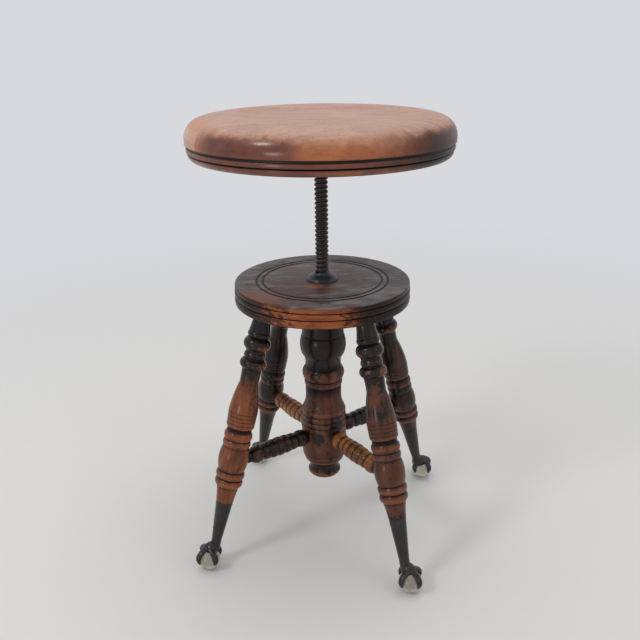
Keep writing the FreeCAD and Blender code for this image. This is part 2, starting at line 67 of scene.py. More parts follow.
# Each lamp's name, place and width in metres, and power in watts.
LAMPS = (
    ("key lamp", (-1.5, -1.6, 2.3), 0.6, 15),
    ("window lamp", (-1.1, -2.2, 0.45), 0.5, 4),
    ("side lamp", (1.9, -0.9, 1.5), 1.2, 2),
    ("top lamp", (0.1, 0.3, 2.6), 1.5, 13),
)
LAMP_AIM = (0, 0, 0.35)
SKY_STRENGTH = 0.62
FLOOR_RADIUS = 8
FLOOR_FADE = (0.2, 2.3)

# How finely outlines are drawn: the longest step of an arc in millimetres, its largest turn, the
# corner from which wear rounds it off, and the step and reaches of the relief in millimetres.
ARC_STEP = 1.1
ARC_TURN = math.radians(13)
SOFT_CORNER = math.radians(16)
RELIEF_STEP = 0.25
NARROW_REACH = 1.6
WIDE_REACH = 7

# Sizes shared with the solids, in millimetres. Grooves of the disc's edge lie this far under its
# top, and grooves of the seat are given with their heights and the reach of the dirt in them.
SEAT_GROOVES = ((594.8, 2.8), (586.3, 2.0))
DISC_UNDERSIDE = 375.2
DISC_BORE = 15.1
DISC_RINGS = (84.0, 92.8)
DISC_EDGE_GROOVES = (8.0, 17.0)
COLUMN_RADIUS = 33.8
COLUMN_TOP_DEPTH = 6.8
LEG_RADIUS = 21.6
LEG_TOP_DEPTH = 9.4
LEG_PLACE = 97.0
LEG_SPLAY = math.radians(16)
LEG_END_HEIGHT = 103.8
LEG_SPARE = 8.0
LEG_SPAN = (-282.3, 0.0)
STRETCHER_RADIUS = 13.8
STRETCHER_TENON_RADIUS = 8.6
STRETCHER_HEIGHT = 160.0
STRETCHER_SPAN = (-115.0, 0.0)
SCREW_RADIUS = 9.3
SCREW_THREAD_SPAN = (308.0, 561.9)

# Turned outlines. Each cut is its length, the depth of its far end below the full radius and
# its bulge, how far the middle stands out (or in, when negative) from a straight line, all in
# millimetres. The cuts without a length are the plain barrels, which share what is left.
LEG_RING_CUTS = tuple(
    cut for depth in (0.0, 0.25, 0.5, 0.75)
    for cut in ((0.7, 1.7 + depth, 0), (0.7, 1.0 + depth, 0), (4.2, 1.25 + depth, 0)))
LEG_CUTS = (
    (8, 9.4, 0), (27, 6.8, -0.7), (1, 7.2, 0), (7.6, 7.2, 1.4), (1, 7.8, 0), (1, 6.2, 0),
    (15, 5.8, 3.4), (5.4, 7.8, -0.8), (8, 7.6, 1.4), (1.4, 6.6, 0), (13.4, 6.6, 3.8),
    (1.6, 7.4, 0), (20, 8.1, -0.3), (None, 1.0, 1.0),
    *LEG_RING_CUTS,
    (1.2, 4.2, 0), (6, 4.2, 0), (1, 3.4, 0), (10.8, 3.2, 1.8), (0.8, 3.6, 0), (10, 3.2, 1.6),
    (1, 3.2, 0), (None, 2.8, 2.8),
    (1.2, 3.6, 0), (0.8, 3.0, 0), (10.4, 3.2, 2.1), (1, 3.9, 0), (11, 3.9, 2.2), (1.4, 5.4, 0),
    (23.9, 9.1, -0.4),
)
LEG_PLAIN_SHARES = (0.545, 0.455)
COLUMN_RING_CUTS = tuple(
    cut for depth in (1.75, 1.3, 0.85, 0.4) for cut in ((8, depth, 1.1), (0.8, depth, 0)))
COLUMN_CUTS = (
    (None, 3.8, -1.2),
    (5, 3, 0), (1.2, 3.8, 0), (1.2, 2.8, 0), (28.3, 2.6, 2.7), (12.4, 7.6, -0.9), (9, 7.6, 0),
    (20, 6.8, 4.4), (1, 6, 0), (7, 6, 0.4), (0.8, 7.4, 0),
    (None, 7.2, 0),
    (10.6, 5.2, -0.3), (6.8, 2.2, 0),
    *COLUMN_RING_CUTS,
    (38.5, 0.9, 0.9),
    (0.8, 1.6, 0), (7.4, 2.8, 0.8), (0.8, 3.6, 0), (6.6, 6.4, 1.0), (0.8, 7.4, 0),
    (7.6, 12, -0.6), (2.4, 12.2, 0), (6.4, 9.8, -0.8), (7.2, 11.2, 1.4), (2, 14.2, 0.3),
)
COLUMN_PLAIN_SHARES = (0.7, 0.3)


def srgb(red, green, blue):
    """A colour written as it looks on screen, 0 to 255, as Blender's linear numbers."""
    linear = []
    for value in (red, green, blue):
        value = value / 255
        linear.append(value / 12.92 if value <= 0.04045 else ((value + 0.055) / 1.055) ** 2.4)
    return tuple(linear)


def colour_property(name, description, red, green, blue):
    """A colour setting. Its first value is given as it looks on screen."""
    return bpy.props.FloatVectorProperty(
        name=name, description=description, subtype="COLOR", size=3, min=0, max=1,
        default=srgb(red, green, blue))


def length_property(name, description, millimetres):
    """A length setting. Its first value is given in millimetres."""
    return bpy.props.FloatProperty(
        name=name, description=description, unit="LENGTH", subtype="DISTANCE", min=0,
        default=millimetres * MM, precision=4)


class StoolSizes(bpy.types.PropertyGroup):
    """Sizes of the details that the frame leaves open."""
    thread_pitch: length_property("Thread pitch", "Rise of the seat in one turn", 6.35)
    thread_depth: length_property("Thread depth", "Height of the thread over its root", 1.6)
    edge_softness: length_property("Worn edge", "Radius that wear has put on turned corners", 0.3)
    facets: bpy.props.IntProperty(
        name="Facets round", description="Steps in one turn of a leg", default=96, min=24, max=256)


class StoolColours(bpy.types.PropertyGroup):
    """Colours of woods, shellac and iron."""
    # The seat top's tan is lightened by a painted sheen
    seat_top_and_sheen: colour_property("Seat top", "Worn tan on the flat of the seat", 192, 156, 140)
    seat_round: colour_property("Seat edge", "Orange brown on the round of the seat", 176, 104, 64)
    seat_dark: colour_property("Seat stain", "Old stain on the seat's sides", 88, 42, 31)
    bare_wood: colour_property("Bare wood", "Orange brown where the shellac has gone", 150, 84, 46)
    brown_wood: colour_property("Brown shellac", "Red brown of the legs", 102, 58, 40)
    black_shellac: colour_property("Black shellac", "Blackened old shellac", 27, 20, 18)
    golden_wood: colour_property("Golden stretchers", "Golden brown of two stretchers", 158, 102, 52)
    iron: colour_property("Iron", "Black japanned iron of the claws", 24, 21, 21)
    screw_iron: colour_property("Screw iron", "Oiled iron of the screw", 62, 57, 56)
    glass: colour_property("Glass", "Tint of the glass balls", 190, 186, 172)
    floor: colour_property("Floor", "Pale floor under the stool", 228, 227, 225)


# Mesh helpers

def line_to(bm, vertex, x, z):
    """Draws a straight edge of an outline in the XZ plane and returns its far vertex."""
    far = bm.verts.new((x, 0, z))
    bm.edges.new((vertex, far))
    return far


def arc_to(bm, vertex, x, z, bulge):
    """Draws an arc of an outline by spinning its first vertex about the arc's centre."""
    start = vertex.co.copy()
    end = Vector((x, 0, z))
    chord = end - start
    half = chord.length / 2
    aside = Vector((-chord.z, 0, chord.x)).normalized()
    radius = (half * half + bulge * bulge) / (2 * abs(bulge))
    side = 1 if bulge > 0 else -1
    centre = (start + end) / 2 + aside * side * (abs(bulge) - radius)
    sweep = 2 * math.asin(min(1, half / radius))
    steps = max(3, int(radius * sweep / (ARC_STEP * MM)), int(sweep / ARC_TURN))
    result = bmesh.ops.spin(
        bm, geom=[vertex], cent=centre, axis=(0, 1, 0), angle=side * sweep, steps=steps)
    last = [item for item in result["geom_last"] if isinstance(item, bmesh.types.BMVert)][0]
    last.co = end
    return last


def outline(bm, points):
    """A wire in the XZ plane. Each point is a radius, a height and the bulge of the edge to it."""
    vertex = bm.verts.new((points[0][0] * MM, 0, points[0][1] * MM))
    for radius, height, bulge in points[1:]:
        if bulge:
            vertex = arc_to(bm, vertex, radius * MM, height * MM, bulge * MM)
        else:
            vertex = line_to(bm, vertex, radius * MM, height * MM)


def soften_corners(bm, softness):
    """Rounds the outline's corners the way a hand and a rag do."""
    corners = []
    for vertex in bm.verts:
        if len(vertex.link_edges) != 2 or vertex.co.x < 1e-6:
            continue
        first, second = (edge.other_vert(vertex).co - vertex.co for edge in vertex.link_edges)
        if first.length and second.length and math.pi - first.angle(second) > SOFT_CORNER:
            corners.append(vertex)
    if corners and softness > 0:
        bmesh.ops.bevel(
            bm, geom=corners, offset=softness, offset_type="OFFSET", segments=2, profile=0.5,
            affect="VERTICES", clamp_overlap=True, material=-1)


def relief_of(bm):
    """How far each height of an outline stands over the mean around it, narrow and wide, in mm."""
    pairs = sorted((vertex.co.z, vertex.co.x) for vertex in bm.verts)
    heights = np.array([pair[0] for pair in pairs])
    radii = np.array([pair[1] for pair in pairs])
    step = RELIEF_STEP * MM
    grid = np.arange(heights[0], heights[-1] + step, step)
    radius = np.interp(grid, heights, radii)

    def over_mean(reach):
        width = max(3, int(2 * reach / step) | 1)
        padded = np.pad(radius, width // 2, mode="edge")
        return (radius - np.convolve(padded, np.ones(width) / width, mode="valid")) / MM

    narrow = over_mean(NARROW_REACH * MM)
    wide = over_mean(WIDE_REACH * MM)

    def relief(height):
        return float(np.interp(height, grid, narrow)), float(np.interp(height, grid, wide))

    return relief


def spin_round(bm, steps):
    """Turns an outline about Z into a closed skin."""
    bmesh.ops.spin(
        bm, geom=bm.verts[:] + bm.edges[:], cent=(0, 0, 0), axis=(0, 0, 1), angle=math.tau,
        steps=steps, use_merge=True)
    bmesh.ops.remove_doubles(bm, verts=bm.verts[:], dist=1e-6)


def lathe(points, steps, softness):
    """A turned body about Z with the attributes its finish follows."""
    bm = bmesh.new()
    outline(bm, points)
    soften_corners(bm, softness)
    relief = relief_of(bm)
    spin_round(bm, steps)
    bmesh.ops.dissolve_degenerate(bm, edges=bm.edges[:], dist=1e-7)
    bmesh.ops.recalc_face_normals(bm, faces=bm.faces[:])
    mark_place(bm, relief)
    return bm


def mark_place(bm, relief):
    """Keeps each vertex's place on the straight piece and its relief as attributes."""
    place = bm.verts.layers.float_vector.new("place")
    groove = bm.verts.layers.float.new("groove")
    crest = bm.verts.layers.float.new("crest")
    for vertex in bm.verts:
        vertex[place] = vertex.co
        vertex[groove], vertex[crest] = relief(vertex.co.z)


def crease(bm, degrees):
    """Smooth faces, sharp where the surface really turns."""
    for face in bm.faces:
        face.smooth = True
    limit = math.radians(degrees)
    for edge in bm.edges:
        edge.smooth = len(edge.link_faces) != 2 or edge.calc_face_angle(0) < limit


def piece(bm, name, body, material, stands_for, crease_angle=38):
    """Turns a bmesh into a finished piece that rides on a body of the frame."""
    if not len(bm.faces):
        raise RuntimeError("No faces were made for " + name)
    crease(bm, crease_angle)
    mesh = bpy.data.meshes.new(name)
    bm.to_mesh(mesh)
    bm.free()
    mesh.materials.append(material)
    obj = bpy.data.objects.new(name, mesh)
    bpy.context.scene.collection.objects.link(obj)
    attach(obj, body)
    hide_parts(*stands_for)


def dress_node(name, material):
    """Gives a part of the frame its finish."""
    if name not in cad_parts:
        raise RuntimeError("The frame has no node " + name)
    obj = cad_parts[name]
    obj.data.materials.clear()
    obj.data.materials.append(material)


def box_mm(name):
    """The lower and upper corner of a node's box in millimetres."""
    low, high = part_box(name)
    return low / MM, high / MM


# Material helpers

class Nodes:
    """A node tree that is built node by node."""

    def __init__(self, tree):
        self.tree = tree

    def node(self, kind, inputs=None, **settings):
        """Adds a node. Each input is a socket to link or a plain value to set."""
        made = self.tree.nodes.new("ShaderNode" + kind)
        for name, value in settings.items():
            setattr(made, name, value)
        for key, value in (inputs or {}).items():
            if isinstance(value, bpy.types.NodeSocket):
                self.tree.links.new(value, made.inputs[key])
            elif made.inputs[key].type == "RGBA":
                made.inputs[key].default_value = (*value, 1)
            else:
                made.inputs[key].default_value = value
        return made


class Finish(Nodes):
    """One material and the steps that its look is built from."""

    def __init__(self, name):
        self.material = bpy.data.materials.new(name)
        self.material.use_nodes = True
        super().__init__(self.material.node_tree)
        self.shader = self.tree.nodes["Principled BSDF"]

    def object_place(self):
        return self.node("TexCoord").outputs["Object"]

    def attribute(self, name, output="Fac"):
        return self.node("Attribute", attribute_name=name).outputs[output]

    def mapped(self, vector, scale=(1, 1, 1), turn=(0, 0, 0), shift=(0, 0, 0)):
        inputs = {"Vector": vector, "Scale": scale, "Rotation": turn, "Location": shift}
        return self.node("Mapping", inputs).outputs["Vector"]

    def noise(self, vector, scale, detail=3.0, roughness=0.55, distortion=0.0):
        inputs = {"Vector": vector, "Scale": scale, "Detail": detail, "Roughness": roughness,
                  "Distortion": distortion}
        return self.node("TexNoise", inputs).outputs["Fac"]

    def cracks(self, vector, scale):
        """How far each point is from the nearest crack."""
        inputs = {"Vector": vector, "Scale": scale}
        return self.node("TexVoronoi", inputs, feature="DISTANCE_TO_EDGE").outputs["Distance"]

    def math(self, operation, first, second=0.0):
        return self.node("Math", {0: first, 1: second}, operation=operation).outputs[0]

    def plus(self, first, second):
        return self.math("ADD", first, second)

    def minus(self, first, second):
        return self.math("SUBTRACT", first, second)

    def times(self, first, second):
        return self.math("MULTIPLY", first, second)

    def larger(self, first, second):
        return self.math("MAXIMUM", first, second)

    def inverse(self, share):
        """What a share leaves of 1."""
        return self.minus(1.0, share)

    def apart(self, first, second):
        """How far two values are apart."""
        return self.math("ABSOLUTE", self.minus(first, second))

    def swing(self, noise, reach):
        """A noise that swings to both sides of 0, as far as half its reach."""
        return self.times(self.minus(noise, 0.5), reach)

    def between(self, value, low, high):
        """0 at low, 1 at high, smooth between them. Low may be the larger."""
        inputs = {"Value": value, "From Min": low, "From Max": high}
        made = self.node("MapRange", inputs, interpolation_type="SMOOTHSTEP", clamp=True)
        return made.outputs["Result"]

    def mix(self, factor, first, second):
        """The first colour at 0, the second at 1."""
        made = self.node("Mix", {0: factor, 6: first, 7: second}, data_type="RGBA")
        return made.outputs[2]

    def mix_value(self, factor, first, second):
        """The first number at 0, the second at 1."""
        made = self.node("Mix", {0: factor, 2: first, 3: second}, data_type="FLOAT")
        return made.outputs[0]

    def split(self, vector):
        """The X, Y and Z of a vector."""
        made = self.node("SeparateXYZ", {0: vector})
        return made.outputs[0], made.outputs[1], made.outputs[2]

    def distance(self, vector, point):
        made = self.node("VectorMath", {0: vector, 1: point}, operation="DISTANCE")
        return made.outputs["Value"]

    def ramp(self, value, stops):
        """Numbers along a value: each stop is a position and a grey from 0 to 1."""
        made = self.node("ValToRGB", {0: value})
        elements = made.color_ramp.elements
        while len(elements) < len(stops):
            elements.new(1)
        for element, (position, grey) in zip(elements, stops):
            element.position = position
            element.color = (grey, grey, grey, 1)
        return made.outputs["Color"]

    def colour(self, socket):
        self.tree.links.new(socket, self.shader.inputs["Base Color"])

    def rough(self, socket):
        self.tree.links.new(socket, self.shader.inputs["Roughness"])

    def coat(self, weight, roughness):
        self.tree.links.new(weight, self.shader.inputs["Coat Weight"])
        self.shader.inputs["Coat Roughness"].default_value = roughness

    def bump(self, height, distance_mm, strength, under=None):
        """Raises the surface where height is large, over an earlier bump if there is one."""
        inputs = {"Height": height, "Distance": distance_mm * MM, "Strength": strength}
        if under:
            inputs["Normal"] = under
        made = self.node("Bump", inputs)
        self.tree.links.new(made.outputs["Normal"], self.shader.inputs["Normal"])
        return made.outputs["Normal"]

    def constants(self, values):
        """Plain numbers for the shader's own sockets."""
        for socket, value in values.items():
            self.shader.inputs[socket].default_value = value


# Finishes. Heights, places and reaches in them are in metres, as Object coordinates are.

def seat_finish(colours):
    """Worn varnish: a tan flat lightened by a painted sheen, an orange round, red-brown sides with
    painted shade on the right, and grooves blackened by painted shade.
    """
    finish = Finish("worn seat varnish")
    place = finish.object_place()
    grain = finish.mapped(place, turn=(0, 0, -CAMERA_AZIMUTH))
    across, back, height = finish.split(grain)
    flat = finish.node("CombineXYZ", {0: across, 1: back, 2: 0.0}).outputs[0]
    streaks = finish.noise(finish.mapped(grain, scale=(0.05, 1, 0.6)), 520, 4, 0.65)
    figure = finish.noise(finish.mapped(grain, scale=(0.16, 1, 0.5)), 110, 5, 0.68, 0.5)
    pores = finish.noise(finish.mapped(grain, scale=(0.12, 1, 1)), 1100, 2, 0.55)
    clouds = finish.noise(grain, 14, 4, 0.6)
    blotch = finish.noise(grain, 45, 4, 0.6)

    # The woods: tan lightened by a painted sheen, warm tan, orange and stained
    tan = finish.mix(finish.between(figure, 0.35, 0.7), colours.seat_top_and_sheen, srgb(172, 136, 120))
    tan = finish.mix(finish.times(finish.between(clouds, 0.45, 0.75), 0.5), tan, srgb(204, 166, 150))
    orange = finish.mix(finish.between(figure, 0.3, 0.7), colours.seat_round, srgb(146, 78, 44))
    stain = finish.mix(finish.between(figure, 0.3, 0.7), colours.seat_dark, srgb(116, 58, 40))

    # Bands by height: tan flat with its painted sheen, warm crown, orange edge, stained sides and a
    # browner low bead
    edge_noise = finish.swing(blotch, 0.016)
    fleck_noise = finish.swing(pores, 0.012)
    worn_height = finish.plus(finish.plus(height, edge_noise), fleck_noise)
    warm = finish.mix(finish.between(figure, 0.3, 0.7), srgb(190, 138, 110), srgb(172, 120, 92))
    wood = finish.mix(finish.between(worn_height, 0.6255, 0.6160), tan, warm)
    wood = finish.mix(finish.between(worn_height, 0.6185, 0.6075), wood, orange)
    rim = finish.between(worn_height, 0.6240, 0.6130)
    side = finish.between(height, 0.5985, 0.5955)
    band = finish.mix(finish.between(clouds, 0.42, 0.66), stain, srgb(124, 70, 42))
    low_bead = finish.times(finish.between(height, 0.5845, 0.5825), finish.between(clouds, 0.38, 0.6))
    band = finish.mix(low_bead, band, srgb(142, 84, 46))
    wood = finish.mix(side, wood, band)

    # Old stain to the left; a darker stain to the right with painted shade over it, darkest on the
    # sides; and a crescent rubbed bare at the left
    left_stain = finish.between(finish.distance(flat, (-0.090, -0.148, 0)), 0.082, 0.050)
    right_stain_and_shade = finish.between(finish.distance(flat, (0.172, -0.065, 0)), 0.165, 0.060)
    wood = finish.mix(finish.times(left_stain, rim), wood, stain)
    right_stain_and_shade_colour = finish.mix(side, srgb(64, 35, 27), srgb(20, 12, 11))
    wood = finish.mix(finish.times(right_stain_and_shade, rim), wood, right_stain_and_shade_colour)
    bare = finish.plus(finish.distance(flat, (-0.164, -0.066, 0)), edge_noise)
    bare = finish.between(bare, 0.034, 0.028)
    crescent = finish.between(finish.distance(flat, (0, 0, 0)), 0.148, 0.158)
    bare = finish.times(finish.times(bare, crescent), finish.between(height, 0.596, 0.599))
    wood = finish.mix(finish.times(bare, 0.85), wood, srgb(196, 146, 120))

    # Dark streaks of the grain, pores and dents
    streak = finish.times(finish.between(streaks, 0.54, 0.72), 0.32)
    wood = finish.mix(streak, wood, srgb(112, 74, 58))
    wood = finish.mix(finish.times(finish.between(pores, 0.58, 0.70), 0.55), wood, srgb(96, 60, 46))
    dents = finish.between(finish.noise(grain, 210, 2), 0.70, 0.76)
    wood = finish.mix(finish.times(dents, 0.7), wood, srgb(60, 36, 28))

    # Painted shade in the grooves, nearly black
    groove = finish.between(finish.attribute("groove"), -0.05, -0.55)
    groove = finish.times(groove, finish.between(height, 0.5985, 0.5970))
    for middle, reach in SEAT_GROOVES:
        off = finish.apart(height, middle * MM)
        groove = finish.larger(groove, finish.between(off, reach * MM, reach * MM * 0.45))
    wood = finish.mix(finish.times(groove, 0.94), wood, srgb(17, 10, 9))
    finish.colour(wood)

    # Sheen: the flat is dull, the edge keeps its varnish
    rough = finish.mix_value(rim, 0.55, 0.34)
    rough = finish.plus(rough, finish.swing(blotch, 0.18))
    finish.rough(rough)
    dulled = finish.larger(groove, finish.times(right_stain_and_shade, 0.8))
    gloss = finish.times(finish.times(rim, 0.55), finish.inverse(dulled))
    finish.coat(gloss, 0.16)
    fine = finish.bump(streaks, 0.12, 0.5)
    finish.bump(blotch, 0.5, 0.25, fine)
    finish.constants({"IOR": 1.5, "Specular IOR Level": 0.25})
    return finish.material


def shellac_finish(name, colours, span, look, seed, dullness, valley_depth=-1.2):
    """Blackened shellac over brown wood. The look's stops run over the span, in millimetres."""
    low, high = span
    wood, under, stops = look
    finish = Finish(name)
    spot = finish.attribute("place", "Vector")
    spot = finish.mapped(spot, shift=(seed * 0.37, seed * 0.21, 0))
    height = finish.split(finish.attribute("place", "Vector"))[2]
    groove = finish.attribute("groove")
    crest = finish.attribute("crest")
    streaks = finish.noise(finish.mapped(spot, scale=(1, 1, 0.06)), 480, 4, 0.65)
    figure = finish.noise(finish.mapped(spot, scale=(1, 1, 0.16)), 75, 4, 0.6, 0.5)
    islands = finish.noise(finish.mapped(spot, scale=(1, 1, 0.45)), 75, 5, 0.65)
    crackle = finish.cracks(finish.mapped(spot, scale=(1, 1, 0.55)), 190)
    fine = finish.noise(spot, 340, 3, 0.6)
    clouds = finish.noise(spot, 22, 3, 0.55)

    # The brown wood: streaked, smoked, lighter on crests, worn bare there and given a painted
    # highlight, and darker in valleys with painted shade
    brown = finish.mix(finish.between(figure, 0.32, 0.72), wood, under)
    brown = finish.mix(finish.times(finish.between(streaks, 0.5, 0.7), 0.4), brown, srgb(66, 36, 24))
    smoke = finish.noise(finish.mapped(spot, scale=(1, 1, 0.5)), 48, 4, 0.62)
    brown = finish.mix(finish.times(finish.between(smoke, 0.46, 0.66), 0.62), brown, srgb(52, 29, 22))
    highlights = finish.times(finish.between(crest, 0.25, 1.2), 0.45)
    brown = finish.mix(highlights, brown, colours.bare_wood)
    valley = finish.times(finish.between(crest, 0.05, valley_depth), 0.72)
    brown = finish.mix(valley, brown, srgb(44, 26, 20))

    # How well the black shellac holds: by height, in clouds, less on crests, more in valleys
    along = finish.math("DIVIDE", finish.minus(height, low * MM), (high - low) * MM)
    cover = finish.ramp(along, stops)
    cover = finish.plus(cover, finish.swing(clouds, 0.7))
    cover = finish.minus(cover, finish.times(finish.between(crest, 0.4, 1.8), 0.18))
    cover = finish.plus(cover, finish.times(finish.between(crest, 0.0, -1.5), 0.20))
    level = finish.inverse(cover)
    over = finish.minus(islands, level)

    # Its islands, with a haze round them, flecks between them and open cracks at their borders
    haze = finish.times(finish.between(over, -0.14, 0.05), 0.42)
    flecks = finish.noise(finish.mapped(spot, scale=(1, 1, 0.4)), 190, 3, 0.6)
    fleck_room = finish.between(over, -0.30, -0.05)
    flecks = finish.times(finish.between(flecks, 0.60, 0.64), fleck_room)
    black = finish.larger(finish.between(over, -0.03, 0.03), flecks)
    open_crack = finish.times(finish.between(crackle, 0.050, 0.02), finish.between(over, 0.16, 0.02))
    black = finish.times(black, finish.inverse(finish.times(open_crack, 0.5)))
    dark = finish.mix(finish.between(fine, 0.45, 0.75), colours.black_shellac, srgb(40, 28, 25))
    skin = finish.mix(finish.larger(haze, black), brown, dark)
    # Painted shade in the narrow grooves
    groove_shade = finish.times(finish.between(groove, -0.05, -0.35), 0.85)
    skin = finish.mix(groove_shade, skin, srgb(22, 15, 13))
    finish.colour(skin)
    rough = finish.mix_value(black, dullness + 0.14, dullness)
    rough = finish.plus(rough, finish.swing(fine, 0.22))
    finish.rough(rough)
    step = finish.bump(black, 0.12, 0.6)
    pores = finish.bump(streaks, 0.12, 0.35, step)
    finish.bump(islands, 0.7, 0.25, pores)
    finish.coat(finish.times(finish.between(groove, -0.35, 0.0), 0.32), 0.17)
    finish.constants({"IOR": 1.5, "Specular IOR Level": 0.12})
    return finish.material


def disc_finish():
    """The disc: black shellac greyed on its top by a painted sheen, with red streaks, worn to orange
    wood at its front.
    """
    finish = Finish("worn disc shellac")
    place = finish.object_place()
    grain = finish.mapped(place, turn=(0, 0, -CAMERA_AZIMUTH))
    across, back, height = finish.split(grain)
    flat = finish.node("CombineXYZ", {0: across, 1: back, 2: 0.0}).outputs[0]
    streaks = finish.noise(finish.mapped(grain, scale=(0.07, 1, 0.4)), 430, 4, 0.65)
    islands = finish.noise(finish.mapped(grain, scale=(0.42, 1, 1)), 85, 5, 0.65)
    clouds = finish.noise(finish.mapped(grain, scale=(0.6, 1, 1)), 30, 4, 0.6)
    fine = finish.noise(grain, 340, 3, 0.6)
    chips = finish.noise(finish.mapped(grain, scale=(0.42, 0.42, 1)), 230, 5, 0.68)
    top = finish.between(height, 0.4015, 0.4025)
    fleck = finish.swing(chips, 0.06)

    # The top: black greyed by a painted sheen, red streaks, a worn rim and a bare spot by the collar
    red = finish.mix(finish.between(streaks, 0.42, 0.68), srgb(108, 66, 54), srgb(74, 46, 40))
    # Painted sheen: the black of the top is mixed to grey
    black = finish.mix(finish.between(clouds, 0.38, 0.62), srgb(84, 78, 76), srgb(130, 127, 128))
    front_left = finish.between(finish.distance(flat, (-0.075, -0.095, 0)), 0.080, 0.020)
    middle = finish.between(finish.distance(flat, (-0.010, 0.010, 0)), 0.100, 0.030)
    redness = finish.plus(finish.times(front_left, 0.22), finish.times(middle, 0.12))
    show = finish.between(finish.plus(islands, redness), 0.46, 0.66)
    top_skin = finish.mix(finish.times(show, 0.9), black, red)
    rim_wear = finish.plus(finish.distance(flat, (-0.088, -0.078, 0)), fleck)
    rim_wear = finish.between(rim_wear, 0.048, 0.016)
    top_skin = finish.mix(finish.times(rim_wear, 0.8), top_skin, srgb(136, 84, 60))
    bare = finish.distance(finish.mapped(flat, scale=(0.62, 1, 1)), (-0.0075, -0.0320, 0))
    bare = finish.plus(bare, finish.swing(chips, 0.012))
    top_skin = finish.mix(finish.between(bare, 0.0090, 0.0060), top_skin, srgb(160, 92, 58))

    # The edge: chipped and soaked through to orange wood towards the front
    orange = finish.mix(finish.between(streaks, 0.4, 0.7), srgb(150, 82, 46), srgb(112, 58, 36))
    edge_black = finish.mix(finish.between(fine, 0.4, 0.7), srgb(21, 15, 14), srgb(44, 27, 22))
    facing = finish.between(finish.distance(flat, (-0.042, -0.115, 0)), 0.130, 0.016)
    left_chips = finish.between(finish.distance(flat, (-0.076, -0.096, 0)), 0.068, 0.028)
    wear = finish.minus(facing, finish.times(left_chips, 0.52))
    shown = finish.plus(chips, finish.times(wear, 0.75))
    bared = finish.between(shown, 0.84, 0.90)
    soaked = finish.times(finish.between(shown, 0.56, 0.86), 0.7)
    edge_skin = finish.mix(soaked, edge_black, srgb(84, 46, 32))
    edge_skin = finish.mix(bared, edge_skin, orange)
    skin = finish.mix(top, edge_skin, top_skin)

    # Painted shade in the grooves of the edge and in the rings of the top
    ring = finish.between(finish.attribute("groove"), -0.1, -0.5)
    skin = finish.mix(finish.times(ring, finish.inverse(top)), skin, srgb(26, 17, 14))
    radius = finish.distance(flat, (0, 0, 0))
    for ring_radius in DISC_RINGS:
        ring_groove_shade = finish.between(finish.apart(radius, ring_radius * MM), 0.0023, 0.0012)
        skin = finish.mix(finish.times(ring_groove_shade, top), skin, srgb(18, 16, 16))
    finish.colour(skin)
    rough = finish.mix_value(top, 0.34, 0.42)
    finish.rough(finish.plus(rough, finish.swing(clouds, 0.30)))
    step = finish.bump(bared, 0.15, 0.6)
    pores = finish.bump(streaks, 0.15, 0.4, step)
    finish.bump(clouds, 0.8, 0.25, pores)
    finish.constants({"IOR": 1.5, "Specular IOR Level": 0.2})
    return finish.material


def iron_finish(name, base, dullness, rust, metallic=0.0):
    """Black japanned or oiled iron with a cast skin and brown rust in its hollows."""
    finish = Finish(name)
    place = finish.object_place()
    skin = finish.noise(place, 260, 4, 0.6)
    grains = finish.noise(place, 1500, 3, 0.6)
    clouds = finish.noise(place, 60, 4, 0.65)
    brown = finish.mix(finish.between(grains, 0.4, 0.7), srgb(70, 50, 42), srgb(48, 38, 35))
    worn = finish.times(finish.between(clouds, 0.48, 0.68), rust)
    finish.colour(finish.mix(worn, base, brown))
    rough = finish.plus(finish.times(worn, 0.35), dullness)
    rough = finish.plus(rough, finish.swing(skin, 0.25))
    finish.rough(rough)
    cast = finish.bump(grains, 0.06, 0.5)
    finish.bump(skin, 0.35, 0.4, cast)
    finish.constants({"Metallic": metallic, "IOR": 1.5})
    return finish.material


def glass_finish(colours):
    """Clear old glass with a faint tint, a few seeds and rubbed patches."""
    finish = Finish("clear glass")
    place = finish.object_place()
    haze = finish.noise(place, 220, 3, 0.6)
    seeds = finish.between(finish.noise(place, 900, 2), 0.70, 0.76)
    finish.colour(finish.mix(seeds, colours.glass, srgb(200, 196, 176)))
    finish.rough(finish.times(finish.between(haze, 0.5, 0.8), 0.06))
    finish.bump(haze, 0.15, 0.2)
    finish.constants({"Transmission Weight": 0.92, "IOR": 1.5})
    return finish.material


# Pieces

def sagitta(radius, turn):
    """How far the middle of an arc stands off the straight line between its ends."""
    return radius * (1 - math.cos(turn / 2))


